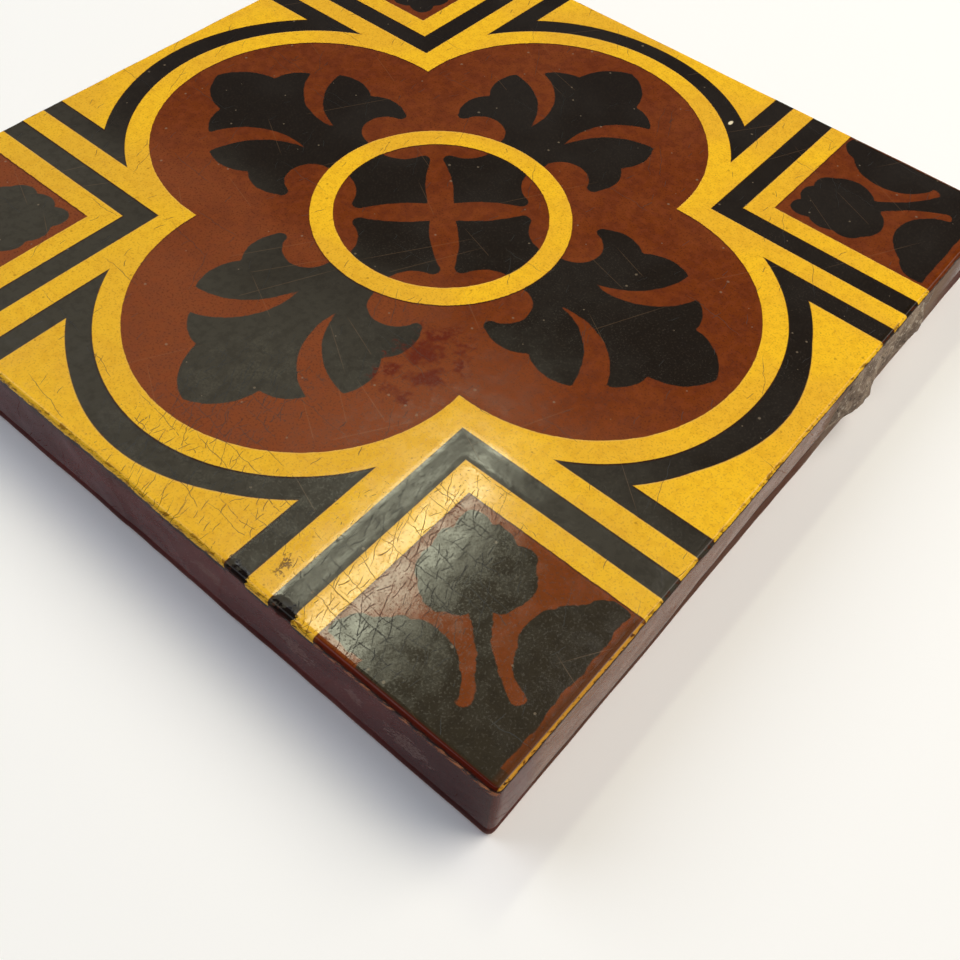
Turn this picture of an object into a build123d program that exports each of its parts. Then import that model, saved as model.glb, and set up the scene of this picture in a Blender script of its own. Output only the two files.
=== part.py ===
"""Encaustic floor tile, six inches square: one fired block of red clay whose face is inlaid with yellow and
black clays in a quatrefoil pattern. It lies on its bed face at z = 0, centred on the origin, with its sides
along X and Y and its patterned face up. The yellow clay stands a little proud of the red, and the black lies
a little below it."""

import os
from math import sqrt

from build123d import *

# Overall sizes, in millimetres
side = 152.4
thickness = 18.4
corner_radius = 1.2
face_arris = 0.6
bed_arris = 1.0

# Levels of the yellow and black clays, measured from the red clay
yellow_rise = 0.25
black_dish = 0.12

# Square in each corner, and the widths of the stripes around it, counted outward from it
corner_square = 31.7
inner_yellow_width = 4.3
chevron_width = 4.4
outer_yellow_width = 4.7
outer_black_width = 4.2

# Gap from the red field to the edge of the tile, and the widths of the bands around the field
lobe_gap = 12.2
yellow_band_width = 4.5
black_band_width = 4.2

# Ring in the middle of the field, and the gap from the leaf tips to the edge of the field
ring_outer = 24.0
ring_width = 4.2
leaf_gap = 3.4

# Half the width of a leaf in the field, and the red margin beside a corner leaf
leaf_half_width = 18.6
leaf_margin = 1.5

# Key grooves in the bed face
groove_width = 5.0
groove_depth = 1.6
groove_pitch = 20.0
groove_count = 6
groove_border = 14.0

# Worked-out sizes: each stripe's far side, measured in from the two edges beside the corner
half = side / 2
red_level = thickness - yellow_rise
inner_yellow = corner_square + inner_yellow_width
chevron = inner_yellow + chevron_width
outer_yellow = chevron + outer_yellow_width
outer_black = outer_yellow + outer_black_width

# Lobes of the field: they meet in a point at the inner corner of each outer yellow stripe
field_reach = half - lobe_gap
field_point = half - outer_yellow
lobe_centre = (field_reach**2 - 2 * field_point**2) / (2 * field_reach - 2 * field_point)
field_radius = field_reach - lobe_centre
band_radius = field_radius + yellow_band_width
outer_radius = band_radius + black_band_width
ring_inner = ring_outer - ring_width
leaf_length = field_reach - leaf_gap - ring_outer


def face_area():
    """Flat of the face, inside its rounded arris."""
    with BuildSketch() as flat:
        RectangleRounded(side - 2 * face_arris, side - 2 * face_arris, corner_radius - face_arris)
    return flat.sketch


def square_corners(reach):
    """Four squares in the corners of the face, each reaching this far in from both edges."""
    with BuildSketch() as squares:
        with GridLocations(side - reach, side - reach, 2, 2):
            Rectangle(reach, reach)
    return squares.sketch


def quatrefoil(radius):
    """Four round lobes of one radius on the mid lines, with the middle between them filled."""
    with BuildSketch() as foil:
        with PolarLocations(lobe_centre, 4):
            Circle(radius)
        Rectangle(lobe_centre, lobe_centre)
    return foil.sketch


def disc(radius):
    """Round face about the middle of the tile."""
    with BuildSketch() as circle:
        Circle(radius)
    return circle.sketch


def mirrored_outline(runs):
    """Face along +X that is alike on both sides of it. The runs close its upper half: an arc through three
    points, or a straight line between two, the last one along the X axis."""
    with BuildSketch() as shape:
        with BuildLine():
            for run in runs:
                if len(run) == 3:
                    ThreePointArc(*run)
                else:
                    Line(*run)
        make_face()
        mirror(about=Plane.XZ)
    return shape.sketch


def field_leaf():
    """Leaf that grows outward from the ring: a pointed middle lobe between two curled side lobes, parted
    from it by thin veins. Its points are shares of the leaf's length and half width."""

    def at(along, across):
        return (ring_outer + along * leaf_length, across * leaf_half_width)

    root = at(-0.06, 0.0)
    root_side, root_top = at(-0.06, 0.28), at(0.02, 0.3)
    scallop, hook_root, hook_tip, hook_back = at(0.115, 0.55), at(0.03, 0.8), at(-0.005, 0.86), at(0.025, 0.93)
    side_upper, side_notch = at(0.134, 0.995), at(0.263, 0.89)
    side_lower, side_tip = at(0.395, 1.0), at(0.526, 0.935)
    vein_outer, vein_end, vein_inner = at(0.452, 0.55), at(0.2, 0.226), at(0.441, 0.28)
    middle_corner, shoulder, shoulder_notch = at(0.641, 0.72), at(0.715, 0.586), at(0.751, 0.387)
    flank, leaf_tip = at(0.9, 0.28), at(1.0, 0.0)
    return mirrored_outline(
        (
            (root, root_side),
            (root_side, root_top),
            (root_top, scallop, hook_root),
            (hook_root, hook_tip, hook_back),
            (hook_back, side_upper, side_notch),
            (side_notch, side_lower, side_tip),
            (side_tip, vein_outer, vein_end),
            (vein_end, vein_inner, middle_corner),
            (middle_corner, shoulder, shoulder_notch),
            (shoulder_notch, flank, leaf_tip),
            (leaf_tip, root),
        )
    )


def ring_petal():
    """Petal inside the ring: a point at the middle, two pointed shoulders and hollow sides. Its points are
    shares of the ring's inner radius."""

    def at(along, across):
        return (along * ring_inner, across * ring_inner)

    tip, inner_hollow, shoulder = at(0.167, 0.0), at(0.424, 0.253), at(0.571, 0.48)
    shoulder_tip, shoulder_back, outer_hollow = at(0.636, 0.51), at(0.692, 0.465), at(0.793, 0.308)
    ring_side, ring_middle = at(1.02, 0.237), at(1.02, 0.0)
    return mirrored_outline(
        (
            (tip, inner_hollow, shoulder),
            (shoulder, shoulder_tip, shoulder_back),
            (shoulder_back, outer_hollow, ring_side),
            (ring_side, ring_middle),
            (ring_middle, tip),
        )
    )


def corner_leaf():
    """Leaf in a corner square, along the diagonal from the corner at the origin: a stalk with a broad middle
    lobe, and two side lobes that run back to the corner, parted from the stalk by curved slits. Its points
    are shares of the square's side."""

    def at(along, across):
        return (along * corner_square, across * corner_square)

    margin = leaf_margin * sqrt(2)
    corner = (margin, 0.0)
    edge_end = (0.723 * corner_square, 0.723 * corner_square - margin)
    side_lobe, side_tip = at(0.802, 0.563), at(0.786, 0.465)
    slit_outer, slit_end, slit_round = at(0.704, 0.189), at(0.366, 0.147), at(0.343, 0.114)
    stalk_root, stalk_waist, stalk_top = at(0.357, 0.082), at(0.55, 0.041), at(0.777, 0.05)
    lobe_under, lobe_side = at(0.814, 0.208), at(0.959, 0.267)
    lobe_shoulder, shoulder_notch = at(1.038, 0.274), at(1.113, 0.2)
    bump, bump_notch = at(1.182, 0.176), at(1.226, 0.082)
    tip_round, lobe_tip = at(1.28, 0.06), at(1.314, 0.0)
    return mirrored_outline(
        (
            (corner, edge_end),
            (edge_end, side_lobe, side_tip),
            (side_tip, slit_outer, slit_end),
            (slit_end, slit_round, stalk_root),
            (stalk_root, stalk_waist, stalk_top),
            (stalk_top, lobe_under, lobe_side),
            (lobe_side, lobe_shoulder, shoulder_notch),
            (shoulder_notch, bump, bump_notch),
            (bump_notch, tip_round, lobe_tip),
            (lobe_tip, corner),
        )
    )


# Yellow clay: spandrels, quatrefoil band, corner stripes and ring
with BuildSketch(Plane.XY.offset(red_level)) as yellow_clay:
    add(face_area())
    add(quatrefoil(outer_radius), mode=Mode.SUBTRACT)
    add(square_corners(outer_black), mode=Mode.SUBTRACT)
    add(square_corners(outer_yellow))
    add(quatrefoil(band_radius))
    add(quatrefoil(field_radius), mode=Mode.SUBTRACT)
    add(square_corners(chevron), mode=Mode.SUBTRACT)
    add(square_corners(inner_yellow))
    add(square_corners(corner_square), mode=Mode.SUBTRACT)
    add(disc(ring_outer))
    add(disc(ring_inner), mode=Mode.SUBTRACT)
    add(face_area(), mode=Mode.INTERSECT)

# Black clay: the band and its arms, the corner chevrons, the leaves and the petals
with BuildSketch(Plane.XY.offset(red_level)) as black_clay:
    add(quatrefoil(outer_radius))
    add(square_corners(outer_black))
    add(square_corners(outer_yellow), mode=Mode.SUBTRACT)
    add(quatrefoil(band_radius), mode=Mode.SUBTRACT)
    add(square_corners(chevron))
    add(square_corners(inner_yellow), mode=Mode.SUBTRACT)
    with PolarLocations(0, 4):
        add(field_leaf())
    add(disc(ring_outer), mode=Mode.SUBTRACT)
    with PolarLocations(0, 4):
        add(ring_petal())
    with BuildSketch(mode=Mode.PRIVATE) as ring:
        Circle(ring_outer)
        Circle(ring_inner, mode=Mode.SUBTRACT)
    add(ring.sketch, mode=Mode.SUBTRACT)
    with PolarLocations(half * sqrt(2), 4, start_angle=45):
        add(corner_leaf(), rotation=180)
    add(face_area(), mode=Mode.INTERSECT)

# Fired block: the pressed blank with its rounded edges, then the clays on its face and the keys in its bed
with BuildPart() as tile:
    with BuildSketch():
        RectangleRounded(side, side, corner_radius)
    extrude(amount=red_level)
    fillet(tile.faces().sort_by(Axis.Z)[-1].edges(), radius=face_arris)
    chamfer(tile.faces().sort_by(Axis.Z)[0].edges(), length=bed_arris)
    extrude(yellow_clay.sketch, amount=yellow_rise)
    extrude(black_clay.sketch, amount=-black_dish, mode=Mode.SUBTRACT)
    with BuildSketch():
        with GridLocations(0, groove_pitch, 1, groove_count):
            SlotOverall(side - 2 * groove_border, groove_width)
    extrude(amount=groove_depth, mode=Mode.SUBTRACT)

tile.part.label = "tile"
os.makedirs("parts", exist_ok=True)
export_step(tile.part, "parts/tile.step")
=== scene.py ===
"""Looks of an old encaustic floor tile: a fired red block whose glazed face is inlaid with yellow and black
clays in a quatrefoil pattern, with worn edges, crazed glaze and old mortar on one side wall. Shapes are worked
out in millimetres, with z = 0 on the bed face, and go into the meshes in metres."""

from types import SimpleNamespace

import bpy
import numpy as np
from mathutils import Matrix


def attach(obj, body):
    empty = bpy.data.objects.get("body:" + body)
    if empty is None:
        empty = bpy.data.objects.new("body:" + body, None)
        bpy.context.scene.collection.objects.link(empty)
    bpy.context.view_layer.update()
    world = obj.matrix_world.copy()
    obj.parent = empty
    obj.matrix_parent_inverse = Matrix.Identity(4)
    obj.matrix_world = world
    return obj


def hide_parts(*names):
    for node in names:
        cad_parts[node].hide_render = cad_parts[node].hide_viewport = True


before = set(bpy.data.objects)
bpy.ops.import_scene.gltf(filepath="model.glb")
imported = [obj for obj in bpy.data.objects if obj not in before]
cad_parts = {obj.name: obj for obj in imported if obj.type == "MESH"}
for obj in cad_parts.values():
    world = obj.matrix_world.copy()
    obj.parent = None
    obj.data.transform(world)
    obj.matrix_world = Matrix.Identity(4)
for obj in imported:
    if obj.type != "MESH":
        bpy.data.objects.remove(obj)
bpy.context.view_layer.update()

# Sizes of the block and of its pattern, as in the CAD part. A stripe's size is how far its far side lies in from
# the two edges beside its corner.
SIDE, THICK = 152.4, 18.4
HALF = SIDE / 2
CORNER_ROUND, FACE_ARRIS, BED_ARRIS = 1.2, 0.6, 1.0
YELLOW_RISE = 0.25
RED_LEVEL = THICK - YELLOW_RISE
SQUARE, INNER_YELLOW, CHEVRON, OUTER_YELLOW, OUTER_BLACK = 31.7, 36.0, 40.4, 45.1, 49.3
FIELD_REACH, YELLOW_BAND, BLACK_BAND = 64.0, 4.5, 4.2
FIELD_POINT = HALF - OUTER_YELLOW
LOBE_CENTRE = (FIELD_REACH**2 - 2 * FIELD_POINT**2) / (2 * FIELD_REACH - 2 * FIELD_POINT)
FIELD_R = FIELD_REACH - LOBE_CENTRE
BAND_R = FIELD_R + YELLOW_BAND
OUTER_R = BAND_R + BLACK_BAND
RING_OUTER, RING_INNER = 24.0, 19.8
LEAF_GAP, LEAF_HALF, LEAF_MARGIN = 3.4, 18.6, 1.5
LEAF_LENGTH = FIELD_REACH - LEAF_GAP - RING_OUTER

# Key grooves in the bed: their middles along Y, half width, depth and distance from the side walls, and where
# their round ends begin
GROOVES, GROOVE_HALF, GROOVE_DEPTH, GROOVE_BORDER = (-50, -30, -10, 10, 30, 50), 2.5, 1.6, 14.0
GROOVE_STRAIGHT = HALF - GROOVE_BORDER - GROOVE_HALF

# The pattern was pressed a little off the middle, and its four lobes came out unequal: for each direction,
# how far the field and its two bands reach
PRESSED_OFF = (0.76, 0.6)
LOBE_REACH = {
    "right": (64.2, 68.63, 72.57),
    "left": (64.43, 69.08, 74.05),
    "back": (63.74, 68.28, 72.76),
    "front": (63.18, 67.34, 72.75),
}

# The visible face is almost flat: how far its yellow clay stands proud of the red, and its black lies low
YELLOW_PROUD, BLACK_LOW = 0.02, 0.005

# Chips in the left arris: their depth, and for each its middle along Y and its half length
CHIP_DEPTH = 0.25
CHIPS = ((-28.6, 2.0), (-38.0, 2.3))

# The side walls wave a little, and are set back from the CAD part's by about as much as the waves stand out
WALL_SET_BACK = 0.1

# Mortar on the front wall: its reach along X and up the wall
MORTAR_X, MORTAR_Z = (7, 66), (0.4, 17.4)

# Cells along a side of the face's grid and of the bed's, the first a multiple of the second
FACE_CELLS, BED_CELLS = 260, 52

# Places of the block's three materials in its list
FACE_GLAZE, BED_CLAY, WALL_GLAZE = 0, 1, 2

# Colour of the background, and the light of the room that falls on the tile
BACKGROUND = (252, 251, 248)
ROOM_LIGHT = (0.055, 0.063, 0.088, 1)


# ---------------------------------------------------------------------------------------------- numpy helpers


def noise(x, y, size, seed):
    """Smooth noise from -1 to 1: random heights on a square lattice of this size, joined by smooth steps. The
    lattice is shifted, so that none of its lines runs through the middle of the tile."""
    count, shift = 128, (37.3, 51.7)
    lattice = np.random.default_rng(seed).uniform(-1, 1, (count, count))
    u, v = x / size + shift[0], y / size + shift[1]
    i, j = np.floor(u).astype(int), np.floor(v).astype(int)
    s, t = u - i, v - j
    s, t = s * s * (3 - 2 * s), t * t * (3 - 2 * t)
    i, j, next_i, next_j = i % count, j % count, (i + 1) % count, (j + 1) % count
    near = lattice[i, j] * (1 - s) + lattice[next_i, j] * s
    far = lattice[i, next_j] * (1 - s) + lattice[next_i, next_j] * s
    return near * (1 - t) + far * t


def ramp(value, low, high):
    """Smooth step: 0 at low, 1 at high, and even at both ends."""
    t = np.clip((value - low) / (high - low), 0, 1)
    return t * t * (3 - 2 * t)


def arc(start, middle, end, count=14):
    """Points on the circle through three points, from the first up to the last, which is left out."""
    a, b, c = (complex(*p) for p in (start, middle, end))
    w = (c - a) / (b - a)
    if abs(w.imag) < 1e-9:
        return np.array([start])
    centre = a - (a - b) * (w - abs(w) ** 2) / 2j / w.imag
    turn_b, turn_c = np.angle((b - centre) / (a - centre)), np.angle((c - centre) / (a - centre))
    if turn_b * turn_c < 0 or abs(turn_b) > abs(turn_c):
        turn_c -= 2 * np.pi * np.sign(turn_c)
    points = centre + (a - centre) * np.exp(1j * np.linspace(0, turn_c, count, endpoint=False))
    return np.stack([points.real, points.imag], 1)


def outline(runs):
    """One line through all runs: arcs through three points, and straight lines between two."""
    parts = [arc(*run) if len(run) == 3 else np.array([run[0]]) for run in runs]
    return np.concatenate(parts + [np.array([runs[-1][-1]])])


def signed_distance(x, y, line):
    """Distance from each point to the line, below zero inside the shape that the line closes. Runs on the X axis
    don't count, because the shape's other half begins there."""
    far = np.full(x.shape, 1e9)
    inside = np.zeros(x.shape, bool)
    for (ax, ay), (bx, by) in zip(line, np.roll(line, -1, axis=0)):
        dx, dy = bx - ax, by - ay
        length = dx * dx + dy * dy
        if length < 1e-12:
            continue
        t = np.clip(((x - ax) * dx + (y - ay) * dy) / length, 0, 1)
        if not (ay == 0 and by == 0):
            far = np.minimum(far, np.hypot(x - ax - t * dx, y - ay - t * dy))
        crossed = (ay > y) != (by > y)
        inside ^= crossed & (x < (bx - ax) * (y - ay) / (by - ay if by != ay else 1) + ax)
    return np.where(inside, -far, far)


# ---------------------------------------------------------------------------------------------- the pattern


def field_leaf():
    """Upper half of the leaf outside the ring, as shares of its length and half width."""

    def at(along, across):
        return (RING_OUTER + along * LEAF_LENGTH, across * LEAF_HALF)

    root = at(-0.06, 0.0)
    root_side, root_top = at(-0.06, 0.28), at(0.02, 0.3)
    scallop, hook_root, hook_tip, hook_back = at(0.115, 0.55), at(0.03, 0.8), at(-0.005, 0.86), at(0.025, 0.93)
    side_upper, side_notch = at(0.134, 0.995), at(0.263, 0.89)
    side_lower, side_tip = at(0.395, 1.0), at(0.526, 0.935)
    vein_outer, vein_end, vein_inner = at(0.452, 0.55), at(0.2, 0.226), at(0.441, 0.28)
    middle_corner, shoulder, shoulder_notch = at(0.646, 0.728), at(0.722, 0.594), at(0.754, 0.389)
    flank, leaf_tip = at(0.9, 0.28), at(1.0, 0.0)
    return outline(
        (
            (root, root_side),
            (root_side, root_top),
            (root_top, scallop, hook_root),
            (hook_root, hook_tip, hook_back),
            (hook_back, side_upper, side_notch),
            (side_notch, side_lower, side_tip),
            (side_tip, vein_outer, vein_end),
            (vein_end, vein_inner, middle_corner),
            (middle_corner, shoulder, shoulder_notch),
            (shoulder_notch, flank, leaf_tip),
        )
    )


def ring_petal():
    """Upper half of the petal inside the ring, as shares of the ring's inner radius."""

    def at(along, across):
        return (along * RING_INNER, across * RING_INNER)

    tip, inner_hollow, shoulder = at(0.167, 0.0), at(0.424, 0.253), at(0.571, 0.48)
    shoulder_tip, shoulder_back, outer_hollow = at(0.636, 0.51), at(0.692, 0.465), at(0.793, 0.308)
    ring_side, ring_middle = at(1.02, 0.237), at(1.02, 0.0)
    return outline(
        (
            (tip, inner_hollow, shoulder),
            (shoulder, shoulder_tip, shoulder_back),
            (shoulder_back, outer_hollow, ring_side),
            (ring_side, ring_middle),
        )
    )


def corner_leaf():
    """Upper half of the leaf in a corner square, along its diagonal from the corner of the tile, as shares of
    the square's side."""

    def at(along, across):
        return (along * SQUARE, across * SQUARE)

    margin = LEAF_MARGIN * np.sqrt(2)
    corner, edge_end = (margin, 0.0), (0.723 * SQUARE, 0.723 * SQUARE - margin)
    side_lobe, side_tip = at(0.802, 0.563), at(0.786, 0.465)
    slit_outer, slit_end, slit_round = at(0.704, 0.189), at(0.366, 0.147), at(0.343, 0.114)
    stalk_root, stalk_waist, stalk_top = at(0.357, 0.082), at(0.55, 0.041), at(0.777, 0.05)
    lobe_under, lobe_side = at(0.814, 0.208), at(0.959, 0.267)
    lobe_shoulder, shoulder_notch = at(1.038, 0.274), at(1.113, 0.2)
    bump, bump_notch = at(1.182, 0.176), at(1.226, 0.082)
    tip_round, lobe_tip = at(1.28, 0.06), at(1.314, 0.0)
    return outline(
        (
            (corner, edge_end),
            (edge_end, side_lobe, side_tip),
            (side_tip, slit_outer, slit_end),
            (slit_end, slit_round, stalk_root),
            (stalk_root, stalk_waist, stalk_top),
            (stalk_top, lobe_under, lobe_side),
            (lobe_side, lobe_shoulder, shoulder_notch),
            (shoulder_notch, bump, bump_notch),
            (bump_notch, tip_round, lobe_tip),
        )
    )


def pattern_place(x, y):
    """Place in the true pattern of each point of the tile: the offset is taken off, and each lobe is stretched
    along its own axis until its field and bands reach as far as they were pressed. The stretch fades out to
    both sides of the axis."""
    px, py = x - PRESSED_OFF[0], y - PRESSED_OFF[1]
    beyond, fade_width = HALF + 2, 30
    true = np.array([0, RING_OUTER, FIELD_REACH, FIELD_REACH + YELLOW_BAND, LOBE_CENTRE + OUTER_R, beyond])

    def along(value, across, plus, minus):
        fade = np.exp(-((across / fade_width) ** 2))
        up, down = (np.array([0, RING_OUTER, *LOBE_REACH[k], beyond]) for k in (plus, minus))
        size = np.abs(value)
        move = np.where(value > 0, np.interp(size, up, true - up), np.interp(size, down, true - down))
        return value + np.sign(value) * move * fade

    return along(px, py, "right", "left"), along(py, px, "back", "front")


def leaf_distance(px, py):
    """Signed distance to the nearest black leaf or petal, below zero inside it."""
    ax, ay = np.abs(px), np.abs(py)
    long, short, radius = np.maximum(ax, ay), np.minimum(ax, ay), np.hypot(px, py)
    leaf = np.maximum(signed_distance(long, short, field_leaf()), RING_OUTER - radius)
    petal = np.maximum(signed_distance(long, short, ring_petal()), radius - RING_INNER)
    u, v = HALF - ax, HALF - ay
    corner = signed_distance((u + v) / np.sqrt(2), np.abs(u - v) / np.sqrt(2), corner_leaf())
    return np.minimum(np.minimum(leaf, petal), corner)


def clay_distances(px, py, leaf):
    """Signed distances to the yellow clay and to the black clay. The shapes are laid over each other from the
    edge of the tile inward, each one added with a minimum or cut out with a maximum."""
    ax, ay = np.abs(px), np.abs(py)
    long, short, radius = np.maximum(ax, ay), np.minimum(ax, ay), np.hypot(px, py)
    stripe = HALF - np.minimum(ax, ay)
    lobe = np.hypot(long - LOBE_CENTRE, short)
    field, band, outer = (np.minimum(lobe - r, long - LOBE_CENTRE / 2) for r in (FIELD_R, BAND_R, OUTER_R))
    yellow = np.maximum(-outer, OUTER_BLACK - stripe)
    yellow = np.minimum(np.minimum(yellow, stripe - OUTER_YELLOW), band)
    yellow = np.maximum(np.maximum(yellow, -field), CHEVRON - stripe)
    yellow = np.maximum(np.minimum(yellow, stripe - INNER_YELLOW), SQUARE - stripe)
    yellow = np.maximum(np.minimum(yellow, radius - RING_OUTER), RING_INNER - radius)
    black = np.minimum(outer, stripe - OUTER_BLACK)
    black = np.maximum(np.maximum(black, OUTER_YELLOW - stripe), -band)
    black = np.maximum(np.minimum(black, stripe - CHEVRON), INNER_YELLOW - stripe)
    return yellow, np.minimum(black, leaf)


def yellow_facing(px, py):
    """How far the nearest side of the yellow clay turns to the front left: the slope of its distance, by a small
    step along each axis, times that direction. The leaves have no yellow, so they are put far away."""
    reach, no_leaf, front_left = 0.05, 9.0, (-0.79, -0.61)
    slope_x = clay_distances(px + reach, py, no_leaf)[0] - clay_distances(px - reach, py, no_leaf)[0]
    slope_y = clay_distances(px, py + reach, no_leaf)[0] - clay_distances(px, py - reach, no_leaf)[0]
    return (front_left[0] * slope_x + front_left[1] * slope_y) / (2 * reach)


# ---------------------------------------------------------------------------------------------- the block


def rounded_square(sx, sy, half, radius):
    """A point of the unit square, from -1 to 1, on a square of this half side whose corners are arcs: inside
    the corner's own small square, the larger of the two steps becomes the distance from the arc's centre."""
    x, y = sx * half, sy * half
    qx, qy = np.maximum(np.abs(x) - (half - radius), 0), np.maximum(np.abs(y) - (half - radius), 0)
    in_corner = (qx > 0) & (qy > 0)
    shrink = np.where(in_corner, np.maximum(qx, qy) / np.maximum(np.hypot(qx, qy), 1e-9), 1)
    nx = np.where(in_corner, half - radius + qx * shrink, np.abs(x))
    ny = np.where(in_corner, half - radius + qy * shrink, np.abs(y))
    return np.sign(x) * nx, np.sign(y) * ny


def rim_path(count):
    """The outline of the unit square, counter-clockwise from its front left corner, this many steps a side."""
    t = np.linspace(-1, 1, count, endpoint=False)
    one = np.ones(count)
    return np.concatenate([t, one, -t, -one]), np.concatenate([-one, t, one, -t])


def grid_faces(columns, rows):
    """Faces of a grid whose points are numbered row by row: each runs counter-clockwise from its first point."""
    i, j = np.meshgrid(np.arange(columns), np.arange(rows))
    first = (j * (columns + 1) + i).ravel()
    return np.stack([first, first + 1, first + columns + 2, first + columns + 1], 1)


def grid_border(columns, rows):
    """Numbers of the points round the edge of such a grid, counter-clockwise from its first point."""
    low, high = np.arange(columns), rows * (columns + 1) + np.arange(columns, 0, -1)
    right, left = np.arange(rows) * (columns + 1) + columns, np.arange(rows, 0, -1) * (columns + 1)
    return np.concatenate([low, right, high, left])


def relief(x, y):
    """Height over the red clay: the yellow stands proud and the black lies low, with soft sides, each chip is a
    torn hollow in the left arris, and the whole face is a little uneven."""
    px, py = pattern_place(x, y)
    yellow, black = clay_distances(px, py, leaf_distance(px, py))
    height = YELLOW_PROUD * ramp(-yellow, -0.5, 0.3) - BLACK_LOW * ramp(-black, -0.5, 0.5)
    torn = 0.5 * noise(x, y, 1.7, 5)
    at_wall = ramp(1.4 - (x + HALF) / 1.1 + torn, 0, 0.9)
    for middle, size in CHIPS:
        height = height - CHIP_DEPTH * at_wall * ramp(size - np.abs(y - middle) + torn, 0, 1)
    return height + 0.035 * noise(x, y, 26, 1) + 0.012 * noise(x, y, 9, 2)


def block_rings():
    """Inset and height of each ring round the block, from the flat of the face down to the bed: a quarter
    round arris, the wall and a softened chamfer."""
    turn = np.radians([22.5, 45, 67.5, 90])
    arris = [(FACE_ARRIS * (1 - np.sin(a)), RED_LEVEL - FACE_ARRIS * (1 - np.cos(a))) for a in turn]
    wall = [(0.0, z) for z in np.linspace(RED_LEVEL - FACE_ARRIS, BED_ARRIS, 14)[1:]]
    softened = BED_ARRIS * 0.45
    return arris + wall + [(softened, softened), (BED_ARRIS, 0.0)]


def wall_ring(inset, z):
    """One ring of points round the block: a rounded square of this inset, which is set back a little more and
    waves along the wall. The lowest ring lies true on the bed."""
    rx, ry = rounded_square(*rim_path(FACE_CELLS), HALF - inset, max(CORNER_ROUND - inset, 0.2))
    if z == 0:
        return rx, ry
    mean_radius = 60
    path = np.arctan2(ry, rx) * mean_radius
    level = np.full(path.shape, z)
    back = WALL_SET_BACK + (0.09 * noise(path, level, 7, 3) + 0.05 * noise(path, level, 2.5, 4))
    size = np.hypot(rx, ry)
    return rx - back * rx / size, ry - back * ry / size


def bed_lines():
    """Grid lines of the bed face: close pairs where a groove's side wall stands, and few elsewhere."""
    lean, border = 0.1, HALF - 3.0
    ends = [54, 57, GROOVE_STRAIGHT - lean, GROOVE_STRAIGHT + lean, 66, border]
    right = np.concatenate([np.arange(2.5, 50.1, 2.5), ends])
    beside = [GROOVE_HALF + lean, GROOVE_HALF - lean, GROOVE_HALF / 2]
    across = [c + d for c in GROOVES for d in (0, *beside, *np.negative(beside))]
    between = [0, 20, 40, -20, -40, 58, 66, border, -58, -66, -border]
    return np.concatenate([-right[::-1], [0], right]), np.array(sorted(across + between))


def bed_grid():
    """Points of the bed face. Lines near a groove's end bulge outward to follow its half round, and every
    point within the grooves' lines is raised by their depth."""
    lx, ly = bed_lines()
    x, y = np.meshgrid(lx, ly)
    off = np.abs(y[..., None] - np.array(GROOVES)).min(-1)
    bulge = np.sqrt(np.maximum(GROOVE_HALF**2 - off**2, 0))
    pull = np.interp(np.abs(x), [50, GROOVE_STRAIGHT - 0.2, GROOVE_STRAIGHT + 0.2, lx[-1]], [0, 1, 1, 0])
    deep = (np.abs(x) < GROOVE_STRAIGHT) & (off < GROOVE_HALF)
    return x + np.sign(x) * bulge * pull, y, np.where(deep, GROOVE_DEPTH, 0.0)


def mesh_from(name, points, quads, others=()):
    """A mesh in metres from points in millimetres, an array of quads and a list of other faces."""
    mesh = bpy.data.meshes.new(name)
    mesh.from_pydata(points / 1000, [], quads.tolist() + [list(f) for f in others])
    mesh.validate()
    piece = bpy.data.objects.new(name, mesh)
    bpy.context.scene.collection.objects.link(piece)
    return piece


def store(mesh, name, kind, values):
    """Puts one value for each vertex into an attribute of the mesh."""
    field = "vector" if kind == "FLOAT_VECTOR" else "value"
    attribute = mesh.attributes.new(name, kind, "POINT")
    attribute.data.foreach_set(field, np.ascontiguousarray(values, np.float32).ravel())


def block_skin():
    """Points, quads and other faces of the block, all in one closed skin: the face is a square grid that carries
    the relief, rings run down the arris, the wall and the chamfer and lose the relief on the way, and a coarser
    grid with the key grooves closes the bed. Each step of its border makes one face with the last ring's finer
    steps."""
    n, k = FACE_CELLS, BED_CELLS
    fade_out = 2.0
    sx, sy = np.meshgrid(np.linspace(-1, 1, n + 1), np.linspace(-1, 1, n + 1))
    x, y = rounded_square(sx.ravel(), sy.ravel(), HALF - FACE_ARRIS, CORNER_ROUND - FACE_ARRIS)
    height = relief(x, y)
    points = [np.stack([x, y, RED_LEVEL + height], 1)]
    quads = [grid_faces(n, n)]

    previous = grid_border(n, n)
    rim_height = height[previous]
    start = (n + 1) ** 2
    for inset, z in block_rings():
        rx, ry = wall_ring(inset, z)
        share = np.clip((z - (RED_LEVEL - fade_out)) / fade_out, 0, 1)
        points.append(np.stack([rx, ry, z + rim_height * share], 1))
        ring = start + np.arange(4 * n)
        quads.append(np.stack([ring, np.roll(ring, -1), np.roll(previous, -1), previous], 1))
        previous, start = ring, start + 4 * n

    points.append(np.stack([part.ravel() for part in bed_grid()], 1))
    quads.append(start + grid_faces(k, k)[:, [0, 3, 2, 1]])
    coarse = start + grid_border(k, k)
    each = n // k
    fine = previous[(np.arange(4 * k)[:, None] * each + np.arange(each, -1, -1)) % (4 * n)]
    joins = np.column_stack([coarse, np.roll(coarse, -1), fine])
    return np.concatenate(points), np.concatenate(quads), joins


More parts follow.
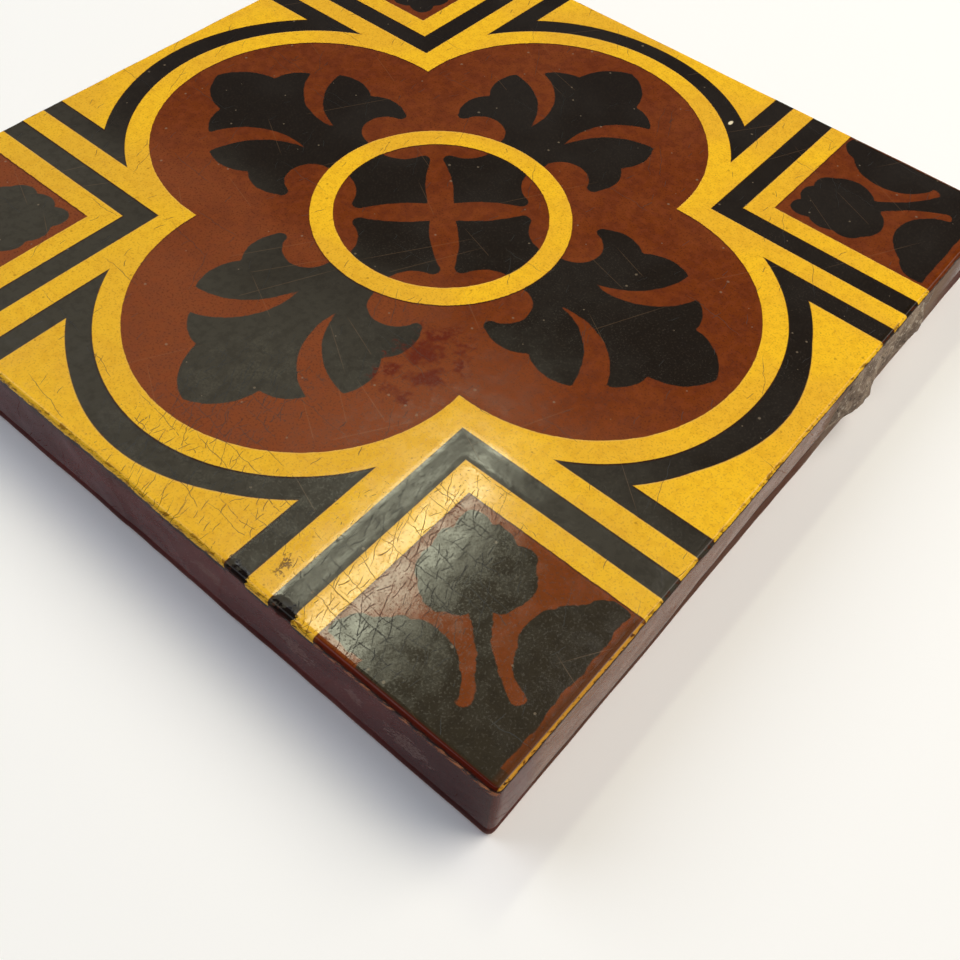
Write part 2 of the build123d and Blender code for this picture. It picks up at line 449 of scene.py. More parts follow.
def build_block():
    """The block with its pattern's places stored in it. The wall glaze begins below the first ring of the arris,
    and also lies on the outermost cells of the face."""
    points, quads, joins = block_skin()
    block = mesh_from("tile_block", points, quads, joins)
    mesh = block.data
    px, py = pattern_place(points[:, 0], points[:, 1])
    store(mesh, "pattern", "FLOAT_VECTOR", np.stack([px, py, np.zeros(len(px))], 1))
    store(mesh, "leaf", "FLOAT", np.clip(leaf_distance(px, py), -6, 6))
    store(mesh, "facing", "FLOAT", yellow_facing(px, py))

    cells, bed_start = FACE_CELLS**2, len(quads) - BED_CELLS**2
    from_edge = np.minimum(np.arange(FACE_CELLS), np.arange(FACE_CELLS)[::-1])
    outermost = np.minimum.outer(from_edge, from_edge).ravel() == 0
    finish = np.full(len(mesh.polygons), BED_CLAY, np.int32)
    finish[:bed_start] = WALL_GLAZE
    finish[: cells + 4 * FACE_CELLS] = FACE_GLAZE
    finish[:cells][outermost] = WALL_GLAZE
    mesh.polygons.foreach_set("material_index", finish)
    mesh.polygons.foreach_set("use_smooth", finish != BED_CLAY)
    mesh.update()
    return block


def build_mortar():
    """Mortar left on the front wall. Its skin is a grid over the wall that stands out by two broad lumps plus a
    ragged noise, less a little: where the sum is below zero the skin lies inside the wall, so its outline is
    torn. A flat grid inside the wall and four strips close it."""
    columns, rows = 150, 46
    # Depths in the wall: the level that the sum stands out from, its lowest dip below that, and the flat back
    level, dip, back_depth = 0.15, 0.3, 1.0
    u, v = np.meshgrid(np.linspace(*MORTAR_X, columns + 1), np.linspace(*MORTAR_Z, rows + 1))

    def lump(height, middle, reach, power):
        """A rounded heap: e to the minus sum of two distances from its middle, in shares of its reach, each to a
        power."""
        along, up = (u - middle[0]) / reach[0], (v - middle[1]) / reach[1]
        return height * np.exp(-(along**power) - up**power)

    lumps = lump(1.7, (24.5, 8.5), (6.5, 5.5), 2)
    lumps += lump(1.3, (42, 11), (6.5, 5), 2)
    lumps += lump(0.42, (34, 11), (22, 7.5), 4)
    rough = 0.9 * noise(u, v, 5.5, 11) + 0.55 * noise(u, v, 2.1, 12) + 0.25 * noise(u, v, 0.9, 13)
    out = lumps * (0.9 + 0.28 * rough) + 0.24 * rough - 0.4
    from_sides = np.minimum(u - MORTAR_X[0], MORTAR_X[1] - u) / 4
    from_ends = np.minimum(v - MORTAR_Z[0], MORTAR_Z[1] - v) / 1.5
    edge = np.minimum(from_sides, from_ends) * 2 - dip
    out = np.maximum(np.minimum(out, edge), -dip)
    skin = np.stack([u, -HALF + level - out, v], -1).reshape(-1, 3)
    back = np.stack([u, np.full(u.shape, -HALF + back_depth), v], -1).reshape(-1, 3)
    front_faces = grid_faces(columns, rows)
    back_faces = front_faces[:, ::-1] + len(skin)
    path = grid_border(columns, rows)
    strip = np.stack([path, path + len(skin), np.roll(path, -1) + len(skin), np.roll(path, -1)], 1)
    quads = np.concatenate([front_faces, back_faces, strip])
    mortar = mesh_from("mortar_remains", np.concatenate([skin, back]), quads)
    mortar.data.polygons.foreach_set("use_smooth", np.ones(len(mortar.data.polygons), bool))
    return mortar


# ---------------------------------------------------------------------------------------------- node helpers


def colour(red, green, blue):
    """A colour given as the eye reads it, 0 to 255, turned into light for a shader."""
    light = (((c / 255 + 0.055) / 1.055) ** 2.4 if c > 10 else c / 255 / 12.92 for c in (red, green, blue))
    return (*light, 1)


def fill(tree, node, inputs):
    """Sets or links a node's inputs, by name or number."""
    for key, value in inputs.items():
        if isinstance(value, bpy.types.NodeSocket):
            tree.links.new(value, node.inputs[key])
        else:
            node.inputs[key].default_value = value


def put(tree, kind, inputs=None, out=0, **settings):
    """Adds a node with its settings and inputs, and gives back one of its outputs, by name or number."""
    node = tree.nodes.new(kind)
    for key, value in settings.items():
        setattr(node, key, value)
    fill(tree, node, inputs or {})
    return node.outputs[out]


def calc(tree, operation, *values):
    """One sum of a Math node."""
    return put(tree, "ShaderNodeMath", dict(enumerate(values)), operation=operation)


def vector(tree, operation, *values, out=0):
    """One sum of a Vector Math node. A length or a distance is its Value."""
    return put(tree, "ShaderNodeVectorMath", dict(enumerate(values)), out=out, operation=operation)


def scaled(tree, place, size):
    """A vector times a number."""
    return put(tree, "ShaderNodeVectorMath", {0: place, "Scale": size}, operation="SCALE")


def blend(tree, share, a, b):
    """Colour a where the share is 0, and b where it is 1."""
    return put(tree, "ShaderNodeMix", {0: share, 6: a, 7: b}, out=2, data_type="RGBA")


def step(tree, value, low, high, to_low=0.0, to_high=1.0):
    """Smooth step of a value between two limits."""
    return put(
        tree,
        "ShaderNodeMapRange",
        {"Value": value, "From Min": low, "From Max": high, "To Min": to_low, "To Max": to_high},
        interpolation_type="SMOOTHSTEP",
    )


def grain(tree, place, scale, detail=2.0, rough=0.5, flat="2D"):
    """Noise on a place in millimetres, with this many swings in each."""
    inputs = {"Vector": place, "Scale": scale, "Detail": detail, "Roughness": rough}
    return put(tree, "ShaderNodeTexNoise", inputs, noise_dimensions=flat)


def cells(tree, place, scale):
    """Random cells, with this many in each unit of length. Gives back the outputs of the node."""
    inputs = {"Vector": place, "Scale": scale}
    return put(tree, "ShaderNodeTexVoronoi", inputs, voronoi_dimensions="2D").node.outputs


def chain(tree, operation, values):
    """One operation of a Math node, carried on over several values."""
    result = values[0]
    for value in values[1:]:
        result = calc(tree, operation, result, value)
    return result


def largest(tree, *values):
    """The largest of several masks."""
    return chain(tree, "MAXIMUM", values)


def both(tree, *values):
    """Where all of several masks hold: their product."""
    return chain(tree, "MULTIPLY", values)


def total(tree, *values):
    """The sum of several values."""
    return chain(tree, "ADD", values)


# ---------------------------------------------------------------------------------------------- node groups


def new_group(name, inputs, outputs):
    """An empty node group with named sockets. Gives back its tree, its input node and its output node."""
    tree = bpy.data.node_groups.new(name, "ShaderNodeTree")
    for direction, sockets in (("INPUT", inputs), ("OUTPUT", outputs)):
        for label, kind in sockets.items():
            tree.interface.new_socket(name=label, in_out=direction, socket_type="NodeSocket" + kind)
    return tree, tree.nodes.new("NodeGroupInput").outputs, tree.nodes.new("NodeGroupOutput").inputs


def clay_pattern_group():
    """Which clay shows at a place of the pattern. The same shapes as in the CAD part are laid over each other:
    minimums add a shape, and maximums cut one out."""
    tree, given, gives = new_group(
        "clay_pattern",
        {"Pattern": "Vector", "Leaf": "Float", "Waver": "Float"},
        {"Yellow": "Float", "Black": "Float"},
    )
    split = vector(tree, "ABSOLUTE", given["Pattern"])
    ax, ay, _ = put(tree, "ShaderNodeSeparateXYZ", {0: split}).node.outputs
    long, short = calc(tree, "MAXIMUM", ax, ay), calc(tree, "MINIMUM", ax, ay)
    stripe = calc(tree, "SUBTRACT", HALF, short)
    radius = vector(tree, "LENGTH", given["Pattern"], out="Value")
    folded = put(tree, "ShaderNodeCombineXYZ", {0: long, 1: short})
    lobe = vector(tree, "DISTANCE", folded, (LOBE_CENTRE, 0, 0), out="Value")
    middle = calc(tree, "SUBTRACT", long, LOBE_CENTRE / 2)

    def foil(size):
        return calc(tree, "MINIMUM", calc(tree, "SUBTRACT", lobe, size), middle)

    def within(value, size):
        return calc(tree, "SUBTRACT", value, size)

    def add(a, b):
        return calc(tree, "MINIMUM", a, b)

    def cut(a, b):
        return calc(tree, "MAXIMUM", a, both(tree, b, -1.0))

    outer = add(foil(OUTER_R), within(stripe, OUTER_BLACK))
    yellow = both(tree, outer, -1.0)
    yellow = add(add(yellow, within(stripe, OUTER_YELLOW)), foil(BAND_R))
    yellow = cut(cut(yellow, foil(FIELD_R)), within(stripe, CHEVRON))
    yellow = cut(add(yellow, within(stripe, INNER_YELLOW)), within(stripe, SQUARE))
    yellow = cut(add(yellow, within(radius, RING_OUTER)), within(radius, RING_INNER))
    black = cut(cut(outer, within(stripe, OUTER_YELLOW)), foil(BAND_R))
    black = cut(add(black, within(stripe, CHEVRON)), within(stripe, INNER_YELLOW))
    black = add(black, given["Leaf"])
    tree.links.new(calc(tree, "ADD", yellow, given["Waver"]), gives["Yellow"])
    tree.links.new(calc(tree, "ADD", black, given["Waver"]), gives["Black"])
    return tree


def hairline_group():
    """Short thin cracks or scratches that run mostly one way. Stretched random cells each hold at most one line,
    which passes through the middle of the cell at a slope of its own, and only a share of the cells hold one."""
    tree, given, gives = new_group(
        "hairlines",
        {"Place": "Vector", **dict.fromkeys(("Angle", "Long", "Apart", "Width", "Share"), "Float")},
        {"Line": "Float"},
    )
    placed = {"Vector": given["Place"], "Angle": given["Angle"]}
    turned = put(tree, "ShaderNodeVectorRotate", placed, rotation_type="Z_AXIS")
    cell_size = put(tree, "ShaderNodeCombineXYZ", {0: given["Long"], 1: given["Apart"], 2: 1.0})
    spread = vector(tree, "DIVIDE", turned, cell_size)
    cell = cells(tree, spread, 1.0)
    off = vector(tree, "SUBTRACT", spread, cell["Position"])
    along, across, _ = put(tree, "ShaderNodeSeparateXYZ", {0: off}).node.outputs
    pick, slope, _ = put(tree, "ShaderNodeSeparateColor", {0: cell["Color"]}).node.outputs
    lean = both(tree, calc(tree, "SUBTRACT", both(tree, slope, 2.2), 1.1), along)
    gap = both(tree, calc(tree, "ABSOLUTE", calc(tree, "ADD", across, lean)), given["Apart"])
    line = step(tree, gap, given["Width"], 0.0)
    ends = step(tree, calc(tree, "ABSOLUTE", along), 0.5, 0.2)
    kept = calc(tree, "LESS_THAN", pick, given["Share"])
    tree.links.new(both(tree, line, ends, kept), gives["Line"])
    return tree


def pit_group():
    """Scattered small pits: the middles of random cells, of which only a share hold one."""
    tree, given, gives = new_group(
        "pits", {"Place": "Vector", "Scale": "Float", "Size": "Float", "Share": "Float"}, {"Pit": "Float"}
    )
    cell = cells(tree, given["Place"], given["Scale"])
    pick, other, _ = put(tree, "ShaderNodeSeparateColor", {0: cell["Color"]}).node.outputs
    size = both(tree, given["Size"], calc(tree, "ADD", other, 0.5))
    hole = step(tree, cell["Distance"], size, both(tree, size, 0.5))
    kept = calc(tree, "LESS_THAN", pick, given["Share"])
    tree.links.new(both(tree, hole, kept), gives["Pit"])
    return tree


GROUPS = {
    "pattern": clay_pattern_group(),
    "hairlines": hairline_group(),
    "pits": pit_group(),
}


def use(tree, name, **values):
    """Places a node group, with its inputs by name, and gives back its outputs."""
    node = tree.nodes.new("ShaderNodeGroup")
    node.node_tree = GROUPS[name]
    fill(tree, node, {key.capitalize(): value for key, value in values.items()})
    return node.outputs


# ---------------------------------------------------------------------------------------------- materials


def new_material(name):
    """A material with an empty tree. Gives back the material and its tree."""
    material = bpy.data.materials.new(name)
    material.use_nodes = True
    material.node_tree.nodes.clear()
    return material, material.node_tree


def finish_material(tree, inputs):
    """Adds the shader with its inputs, and the output."""
    shader = put(tree, "ShaderNodeBsdfPrincipled", inputs)
    tree.links.new(shader, tree.nodes.new("ShaderNodeOutputMaterial").inputs["Surface"])


def millimetres(tree):
    """The place of a point in millimetres."""
    return scaled(tree, put(tree, "ShaderNodeTexCoord", out="Object"), 1000.0)


def coats(tree, under, *layers):
    """Lays colours over the one under them, in turn. Each has a mask, how much of it covers, and its colour."""
    for mask, cover, tint in layers:
        tint = tint if isinstance(tint, bpy.types.NodeSocket) else colour(*tint)
        under = blend(tree, both(tree, mask, cover), under, tint)
    return under


def blot(tree, place, centre, reach, torn, ragged=1.5):
    """A soft ragged patch about a centre: 1 in its middle and 0 beyond its reach along each axis."""
    off = vector(tree, "SUBTRACT", place, centre)
    off = vector(tree, "MULTIPLY", off, tuple(1 / r for r in reach))
    far = vector(tree, "LENGTH", off, out="Value")
    return step(tree, calc(tree, "ADD", far, both(tree, torn, ragged)), 1.0, 0.6)


def glaze_masks(tree):
    """Places, noises and masks that the colours of the glaze share. The noises are flat ones, read at
    (x + z, y + z), so that they also cover the walls. A mask is 1 where it holds: the one that grows to the left
    stands partly for age and partly for a painted sheen, corner is the front corner's square, and lump is the
    depth below the face, with a torn edge."""
    m = SimpleNamespace(place=millimetres(tree))
    m.x, m.y, m.z = put(tree, "ShaderNodeSeparateXYZ", {0: m.place}).node.outputs
    m.flat = put(tree, "ShaderNodeCombineXYZ", {0: calc(tree, "ADD", m.x, m.z), 1: calc(tree, "ADD", m.y, m.z)})
    m.broad = grain(tree, m.flat, 0.045, 2.0)
    m.middling, m.cast = grain(tree, m.flat, 0.28, 2.0).node.outputs
    m.mottle = grain(tree, m.flat, 0.6, 3.0, 0.65)
    m.fine = grain(tree, m.flat, 2.6, 1.0)
    m.torn = calc(tree, "SUBTRACT", m.mottle, 0.5)
    m.patches = step(tree, m.broad, 0.38, 0.62)
    m.cloudy = step(tree, m.middling, 0.4, 0.62)
    m.mottled = step(tree, m.mottle, 0.42, 0.68)
    m.specks = step(tree, m.fine, 0.56, 0.72)
    # Partly age and partly a painted sheen: the glaze is dulled and lightened towards the left
    m.aged = step(tree, calc(tree, "SUBTRACT", both(tree, m.broad, 24.0), m.x), 16.0, 58.0)
    m.corner = step(tree, calc(tree, "MAXIMUM", m.x, m.y), -43.6, -44.6)
    m.corner_x, m.corner_y = (step(tree, place, -43.5, -45.0) for place in (m.x, m.y))
    m.on_left, m.on_front = (step(tree, place, -75.2, -75.7) for place in (m.x, m.y))
    m.depth = calc(tree, "SUBTRACT", RED_LEVEL, m.z)
    m.lump = calc(tree, "ADD", m.depth, both(tree, m.torn, 1.1))
    return m


def inlay_masks(tree, m):
    """Where the yellow and the black clay show. The leaves' outlines waver, most of all in the front corner, where
    the black has also run to the left edge. Beside the yellow, which stands a little proud, a painted shade lies
    as a dark line outside its front left sides, and a painted highlight as a pale line inside its back right
    sides."""
    spot = put(tree, "ShaderNodeAttribute", out="Vector", attribute_name="pattern")
    leaf = put(tree, "ShaderNodeAttribute", out="Fac", attribute_name="leaf")
    facing = put(tree, "ShaderNodeAttribute", out="Fac", attribute_name="facing")
    spilt = calc(tree, "MAXIMUM", calc(tree, "ADD", m.x, 73.4), calc(tree, "ADD", m.y, 51.0))
    lumpy = calc(tree, "ADD", 0.35, both(tree, m.corner, 1.3))
    waver = both(tree, calc(tree, "SUBTRACT", m.middling, 0.5), lumpy)
    leaf = calc(tree, "ADD", calc(tree, "MINIMUM", leaf, spilt), waver)
    clays = use(tree, "pattern", pattern=spot, leaf=leaf, waver=both(tree, m.torn, 0.22))
    m.yellow = step(tree, clays["Yellow"], 0.07, -0.07)
    m.black = step(tree, clays["Black"], 0.13, -0.13)
    outside = both(tree, step(tree, clays["Yellow"], 0.42, 0.1), calc(tree, "SUBTRACT", 1.0, m.yellow))
    inside = both(tree, m.yellow, step(tree, clays["Yellow"], -0.3, 0.0))
    m.dark_rim = both(tree, outside, calc(tree, "MAXIMUM", facing, 0.0))
    m.pale_rim = both(tree, inside, calc(tree, "MAXIMUM", both(tree, facing, -1.0), 0.0))
    m.wrap = calc(tree, "ADD", 0.5, both(tree, m.yellow, m.on_left))


def hairlines(tree, place, share, *runs):
    """Several runs of hairlines in one mask. Each has its angle, and its lines' length, spacing and width."""
    lines = (
        use(tree, "hairlines", place=place, angle=angle, long=long, apart=apart, width=width, share=share)["Line"]
        for angle, long, apart, width in runs
    )
    return largest(tree, *lines)


def wear_masks(tree, m):
    """Marks of age on the face. The glaze is crazed in a few worn places at the front and left, and little
    elsewhere. A noise bends its cracks. Single marks sit where the photograph shows them."""
    rim_x, rim_y, _ = put(tree, "ShaderNodeSeparateXYZ", {0: vector(tree, "ABSOLUTE", m.place)}).node.outputs
    m.rim = step(tree, calc(tree, "MAXIMUM", rim_x, rim_y), 75.45, 75.85)
    m.worn = largest(
        tree,
        blot(tree, m.place, (-60.0, -47.0, RED_LEVEL), (24.0, 15.0, 9.0), m.torn),
        blot(tree, m.place, (-55.0, -5.0, RED_LEVEL), (16.0, 12.0, 9.0), m.torn),
        both(tree, blot(tree, m.place, (-69.0, -12.0, RED_LEVEL), (12.0, 20.0, 9.0), m.torn), 0.7),
    )
    dense = calc(tree, "ADD", both(tree, m.worn, 0.75), 0.05)
    bent = vector(tree, "ADD", m.flat, scaled(tree, m.cast, 1.3))
    m.cracks = hairlines(
        tree, bent, dense, (-1.5, 15.0, 1.7, 0.085), (-0.5, 13.0, 1.9, 0.08), (-0.1, 2.6, 1.3, 0.1)
    )
    long_scratches = hairlines(tree, m.flat, 0.08, (0.5, 26.0, 2.6, 0.11))
    m.scratches = largest(tree, long_scratches, hairlines(tree, m.flat, 0.1, (-1.1, 14.0, 3.0, 0.1)))
    m.pits = use(tree, "pits", place=m.flat, scale=0.3, size=0.07, share=0.12)["Pit"]
    m.scuffs = both(tree, m.worn, m.black, m.cloudy, step(tree, m.fine, 0.35, 0.6))
    m.stain = blot(tree, m.place, (-29.0, -22.0, RED_LEVEL), (11.0, 7.0, 9.0), m.torn)
    m.nick = blot(tree, m.place, (62.1, -23.6, RED_LEVEL), (0.9, 0.5, 3.0), m.torn, 0.5)
    m.flaked = blot(tree, m.place, (-70.5, -32.6, RED_LEVEL), (1.7, 1.1, 3.0), m.torn, 3.0)
    chips = (((-HALF, middle, RED_LEVEL), (1.9, size + 0.2, 2.0)) for middle, size in CHIPS)
    m.chipped = largest(tree, *(blot(tree, m.place, centre, reach, m.torn, 2.6) for centre, reach in chips))


def clay_colours(tree, m):
    """The three clays, mottled and speckled, dulled and lightened towards the left partly by age and partly by a
    painted sheen, and olive in the front corner.
    """
    red = coats(
        tree,
        blend(tree, m.patches, colour(112, 50, 12), colour(118, 56, 20)),
        (m.cloudy, 0.4, (88, 34, 12)),
        (m.aged, 0.6, (134, 74, 44)),
        (m.corner, 0.8, (108, 52, 12)),
        (m.specks, 0.5, (74, 26, 8)),
        (m.mottled, 0.25, (138, 66, 32)),
    )
    gold = coats(
        tree,
        blend(tree, m.patches, colour(248, 192, 36), colour(238, 180, 44)),
        (m.aged, 0.5, (222, 172, 52)),
        (m.mottled, 0.26, (204, 142, 22)),
        (m.specks, 0.3, (150, 92, 14)),
    )
    soot = coats(
        tree,
        blend(tree, m.patches, colour(32, 25, 17), colour(38, 32, 25)),
        (m.aged, 0.7, (76, 72, 61)),
        (m.corner, 0.8, (45, 37, 23)),
        (m.specks, 0.2, (62, 50, 36)),
        (m.mottled, 0.2, (24, 19, 14)),
    )
    return blend(tree, m.black, blend(tree, m.yellow, red, gold), soot)


def face_colour(tree, m):
    """The clays with the painted shade and painted highlight lines beside the yellow, marks of age, and the run
    glaze along the two edges of the front corner.
    """
    in_pits = blend(tree, m.yellow, colour(150, 132, 108), colour(112, 70, 16))
    in_cracks = blend(tree, m.black, colour(42, 20, 5), colour(9, 7, 5))
    gilt = both(tree, step(tree, m.y, -75.62, -75.8), m.corner_x, step(tree, m.mottle, 0.32, 0.46))
    return coats(
        tree,
        clay_colours(tree, m),
        # Painted shade beside the yellow's front left sides, and a painted highlight inside its back right sides
        (m.dark_rim, 0.85, (46, 20, 6)),
        (m.pale_rim, 0.45, (232, 186, 110)),
        (both(tree, m.rim, step(tree, m.mottle, 0.52, 0.62)), 0.65, (84, 34, 8)),
        (both(tree, m.stain, m.cloudy), 0.8, (92, 22, 3)),
        (m.scuffs, 0.24, (92, 86, 70)),
        (m.scratches, 0.14, (168, 128, 90)),
        (m.pits, 0.4, in_pits),
        (m.cracks, 0.88, in_cracks),
        (m.nick, 1.0, (238, 222, 186)),
        (m.chipped, 1.0, (18, 11, 8)),
        (both(tree, m.flaked, step(tree, m.fine, 0.3, 0.5)), 0.85, (92, 58, 22)),
        (both(tree, step(tree, m.y, -74.0, -75.0), m.corner_x), 0.7, (74, 44, 22)),
        (both(tree, m.on_left, m.corner_y), 0.85, (78, 16, 6)),
        (gilt, 0.9, (212, 150, 52)),
    )


def wall_colour(tree, m):
    """Run glaze of the walls. It is maroon on the left and all unseen walls, with old smears, and brown on the
    front
    wall: there a painted reflection of the pale floor lies as a beige sheen on its middle, and a darker band along
    its foot has an uneven upper edge. A dark line follows the arris, broken pale orange painted highlights lie
    below the left arris of the front corner, and the chamfer at the bed is pale. Each smear has its middle, its
    reach and how ragged it is."""
    smears = (
        ((-HALF, -61.0, 9.0), (3.0, 4.4, 3.0), 1.8),
        ((-HALF, -39.5, 9.5), (3.0, 4.0, 2.4), 2.4),
        ((-HALF, -51.0, 10.0), (3.0, 1.6, 2.0), 2.0),
        ((-HALF, -21.5, 10.0), (3.0, 3.6, 1.8), 2.4),
    )
    m.smears = largest(tree, *(blot(tree, m.place, at, reach, m.torn, ragged) for at, reach, ragged in smears))
    left = coats(
        tree,
        blend(tree, m.patches, colour(74, 19, 13), colour(92, 36, 30)),
        (step(tree, m.y, -52.0, -70.0), 1.0, (58, 12, 6)),
        (step(tree, m.z, 3.0, 0.5), 0.4, (100, 62, 56)),
        (both(tree, m.smears, step(tree, m.fine, 0.3, 0.65)), 0.42, (142, 122, 116)),
    )

    drift = calc(tree, "ADD", m.x, both(tree, m.torn, 14.0))
    band_top = calc(tree, "ADD", 3.5, step(tree, m.x, -40.0, -14.0, 0.0, 3.6))
    sunk = calc(tree, "SUBTRACT", band_top, m.z)
    # Painted reflection: a beige sheen on the middle of the front wall, standing for the pale floor reflected in
    # its glaze
    m.film = both(tree, step(tree, drift, 6.0, 18.0), step(tree, drift, 74.0, 52.0))
    m.band = step(tree, sunk, -0.2, 0.2)
    front = coats(
        tree,
        blend(tree, m.cloudy, colour(118, 70, 36), colour(112, 65, 32)),
        (m.band, 1.0, (92, 52, 32)),
        (step(tree, calc(tree, "ABSOLUTE", sunk), 0.5, 0.1), 1.0, (48, 24, 16)),
        (largest(tree, step(tree, m.x, -65.0, -70.0), step(tree, drift, 50.0, 66.0)), 1.0, (84, 30, 18)),
        # Painted reflection of the floor, in beige
        (m.film, 0.8, (126, 106, 88)),
    )

    arris_line = step(tree, calc(tree, "SUBTRACT", m.lump, m.wrap), 1.3, 0.7)
    near_arris = both(tree, step(tree, m.lump, 0.7, 1.2), step(tree, m.lump, 2.6, 1.8))
    return coats(
        tree,
        blend(tree, m.on_front, left, front),
        (step(tree, m.z, 1.5, 0.9), 0.8, (158, 116, 98)),
        (arris_line, 0.85, (22, 9, 5)),
        # Painted highlights: broken pale orange glints below the left arris of the front corner
        (both(tree, m.on_left, m.corner_y, near_arris, m.mottled), 0.7, (188, 112, 62)),
    )


def glaze_material(name, gloss):
    """Three clays under one clear glaze: the face and, under another name and with less gloss, the side walls.
    Below the arris, and a little lower where yellow clay wraps over the left edge, the face's colours give way
    to the run glaze of the walls. Cracks, chips, scratches and grime roughen the glaze."""
    material, tree = new_material(name)
    m = glaze_masks(tree)
    inlay_masks(tree, m)
    wear_masks(tree, m)
    below = step(tree, calc(tree, "SUBTRACT", m.lump, m.wrap), -0.15, 0.15)
    skin = blend(tree, below, face_colour(tree, m), wall_colour(tree, m))

    height = both(tree, grain(tree, m.flat, 0.45, 3.0, 0.5), 0.02)
    bump = put(tree, "ShaderNodeBump", {"Height": height, "Strength": 0.6, "Distance": 0.001})
    rough_rim = both(tree, m.rim, step(tree, m.lump, 1.4, 0.7))
    slight = both(tree, largest(tree, m.scratches, m.specks), 0.2)
    broken = largest(tree, m.cracks, m.chipped, rough_rim, slight)
    grimy = largest(tree, both(tree, m.smears, 0.4), m.film, m.band, 0.12)
    grimy = both(tree, step(tree, m.depth, 0.8, 1.5), grimy)
    rough = total(tree, 0.11, both(tree, m.cloudy, 0.05), both(tree, broken, 0.5), both(tree, grimy, 0.45))
    finish_material(tree, {"Base Color": skin, "Roughness": rough, "Normal": bump, "Specular IOR Level": gloss})
    return material


def bed_material():
    """Bare fired clay of the bed face: pale red, dusty and full of small pits."""
    material, tree = new_material("bed_clay")
    place = millimetres(tree)
    patches = step(tree, grain(tree, place, 0.08, 3.0), 0.35, 0.65)
    dust = step(tree, grain(tree, place, 0.3, 4.0, 0.7), 0.5, 0.75)
    pits = use(tree, "pits", place=place, scale=0.5, size=0.16, share=0.4)["Pit"]
    clay = coats(
        tree,
        blend(tree, patches, colour(142, 84, 62), colour(168, 112, 86)),
        (dust, 0.5, (186, 166, 144)),
        (pits, 0.7, (92, 50, 36)),
    )
    height = calc(tree, "SUBTRACT", grain(tree, place, 1.2, 4.0, 0.7), both(tree, pits, 0.8))
    bump = put(tree, "ShaderNodeBump", {"Height": height, "Strength": 0.7, "Distance": 0.0004})
    finish_material(tree, {"Base Color": clay, "Roughness": 0.85, "Normal": bump})
    return material


def mortar_material():
    """Old lime mortar: grey-brown and sandy, with pale grains and dark holes."""
    material, tree = new_material("old_mortar")
    place = millimetres(tree)
    patches = step(tree, grain(tree, place, 0.2, 3.0, 0.6, "3D"), 0.38, 0.62)
    sand = grain(tree, place, 1.1, 4.0, 0.7, "3D")
    paste = coats(
        tree,
        blend(tree, patches, colour(118, 99, 82), colour(156, 136, 114)),
        (step(tree, sand, 0.56, 0.64), 0.8, (196, 182, 162)),
        (step(tree, sand, 0.44, 0.34), 0.85, (44, 34, 26)),
    )
    bump = put(tree, "ShaderNodeBump", {"Height": sand, "Strength": 0.8, "Distance": 0.0008})
    finish_material(tree, {"Base Color": paste, "Roughness": 0.9, "Normal": bump})
    return material


# ---------------------------------------------------------------------------------------------- the setting


def build_floor():
    """A wide flat floor under the tile, in metres, which fades into the pale background for the camera."""
    size, fade_start, fade_end = 3.0, 0.2, 0.75
    corners = [(-size, -size, 0), (size, -size, 0), (size, size, 0), (-size, size, 0)]
    mesh = bpy.data.meshes.new("floor")
    mesh.from_pydata(corners, [], [(0, 1, 2, 3)])
    floor = bpy.data.objects.new("floor", mesh)
    bpy.context.scene.collection.objects.link(floor)
    material, tree = new_material("pale_floor")
    paint = put(tree, "ShaderNodeBsdfPrincipled", {"Base Color": colour(252, 250, 246), "Roughness": 0.9})
    haze = put(tree, "ShaderNodeEmission", {"Color": colour(*BACKGROUND)})
    far = vector(tree, "LENGTH", put(tree, "ShaderNodeTexCoord", out="Object"), out="Value")
    camera_ray = put(tree, "ShaderNodeLightPath", out="Is Camera Ray")
    share = both(tree, step(tree, far, fade_start, fade_end), camera_ray)
    mixed = put(tree, "ShaderNodeMixShader", {0: share, 1: paint, 2: haze})
    tree.links.new(mixed, tree.nodes.new("ShaderNodeOutputMaterial").inputs["Surface"])
    mesh.materials.append(material)


def add_lamp(name, azimuth, elevation, distance, size, power, tint=(1, 1, 1), aim=(0.0, 0.0), spin=0.0):
    """A soft rectangular lamp that looks at one place on the face, turned about its own axis by the spin. Azimuth
    is counted from +X towards +Y, and angles are in degrees."""
    lamp = bpy.data.lights.new(name, "AREA")
    lamp.shape, lamp.size, lamp.size_y = "RECTANGLE", size[0], size[1]
    lamp.energy, lamp.color = power, tint
    piece = bpy.data.objects.new(name, lamp)
    a, e, s = np.radians([azimuth, elevation, spin])
    back = np.array([np.cos(a) * np.cos(e), np.sin(a) * np.cos(e), np.sin(e)])
    side = np.array([-np.sin(a), np.cos(a), 0.0])
    right = side * np.cos(s) + np.cross(back, side) * np.sin(s)
    turn = np.column_stack([right, np.cross(back, right), back])
    face_height = 0.018
    place = back * distance + np.array([*aim, face_height])
    piece.matrix_world = Matrix.Translation(place) @ Matrix(turn.tolist()).to_4x4()
    bpy.context.scene.collection.objects.link(piece)


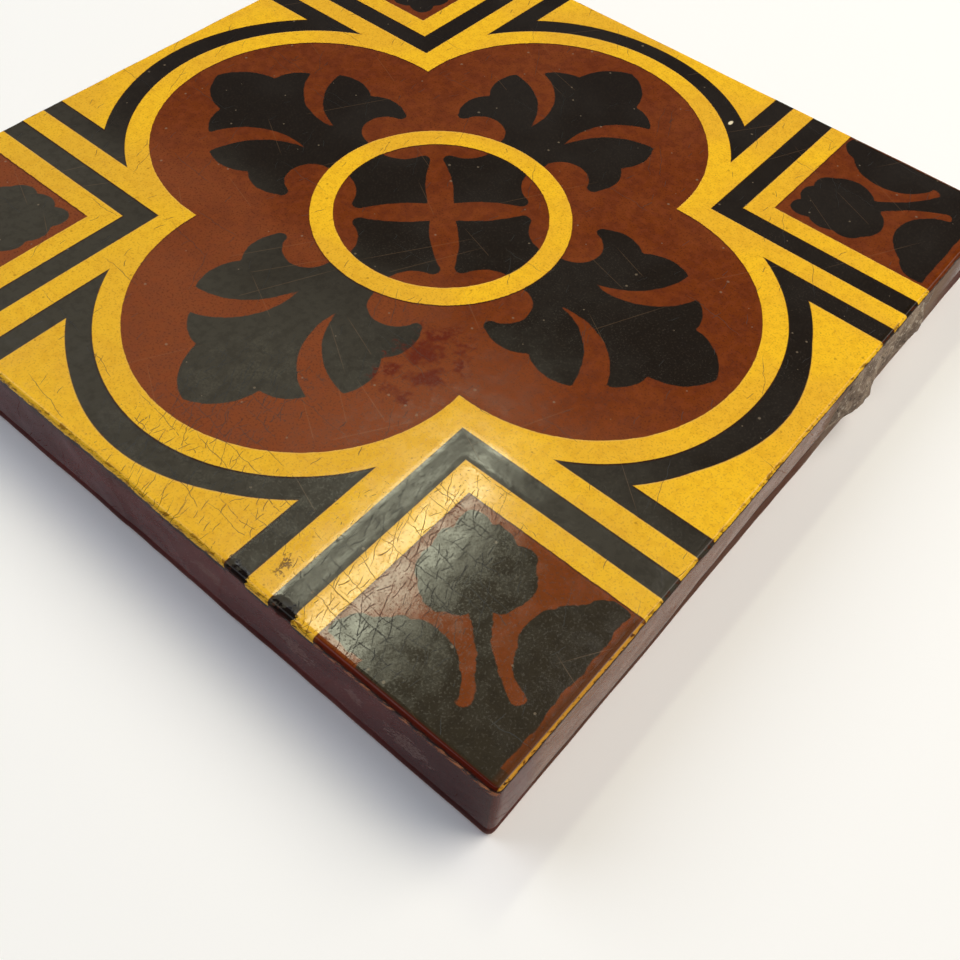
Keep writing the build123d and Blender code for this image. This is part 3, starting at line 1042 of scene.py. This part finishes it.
def add_camera():
    """The camera where the photograph was taken from, with its slight roll."""
    photo_width, focal_length = 960, 1057.4  # in pixels of the photograph
    place = (-0.11685, -0.09793, 0.14618)
    right, down = (0.64256, -0.76413, 0.05682), (-0.59793, -0.54641, -0.58645)
    ahead = (0.47917, 0.34285, -0.80799)
    lens = bpy.data.cameras.new("camera")
    lens.sensor_width = 36.0
    lens.lens = focal_length / photo_width * lens.sensor_width
    lens.clip_start, lens.clip_end = 0.01, 20
    turn = np.column_stack([right, np.negative(down), np.negative(ahead)])
    piece = bpy.data.objects.new("camera", lens)
    piece.matrix_world = Matrix.Translation(place) @ Matrix(turn.tolist()).to_4x4()
    bpy.context.scene.collection.objects.link(piece)
    bpy.context.scene.camera = piece


def add_light():
    """One broad warm lamp to the right of the view, a weak one behind the camera, a cool one beyond the left, a
    long window behind the tile whose reflection lies on the front corner, and a dim room."""
    world = bpy.data.worlds.new("room")
    bpy.context.scene.world = world
    world.use_nodes = True
    tree = world.node_tree
    camera_ray = put(tree, "ShaderNodeLightPath", out="Is Camera Ray")
    room = blend(tree, camera_ray, ROOM_LIGHT, colour(*BACKGROUND))
    tree.links.new(room, tree.nodes["Background"].inputs["Color"])
    add_lamp("main_lamp", -42, 55, 1.3, (1.0, 1.0), 14.8, (1.0, 0.945, 0.855))
    add_lamp("fill_lamp", -120, 65, 1.3, (1.0, 1.0), 1.2, (0.8, 0.88, 1.0))
    add_lamp("back_lamp", 108, 45, 1.3, (0.9, 0.9), 7.3, (0.84, 0.9, 1.0))
    add_lamp("window", 44, 59, 1.5, (0.09, 0.46), 2.15, (0.98, 1.0, 0.74), (-0.058, -0.046), -45)
    bpy.context.scene.view_settings.view_transform = "Standard"


block = build_block()
# In the order of FACE_GLAZE, BED_CLAY and WALL_GLAZE
for finish in (glaze_material("inlaid_glaze", 0.36), bed_material(), glaze_material("wall_glaze", 0.03)):
    block.data.materials.append(finish)
mortar = build_mortar()
mortar.data.materials.append(mortar_material())
for piece in (block, mortar):
    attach(piece, "root")
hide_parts("tile")

build_floor()
add_camera()
add_light()
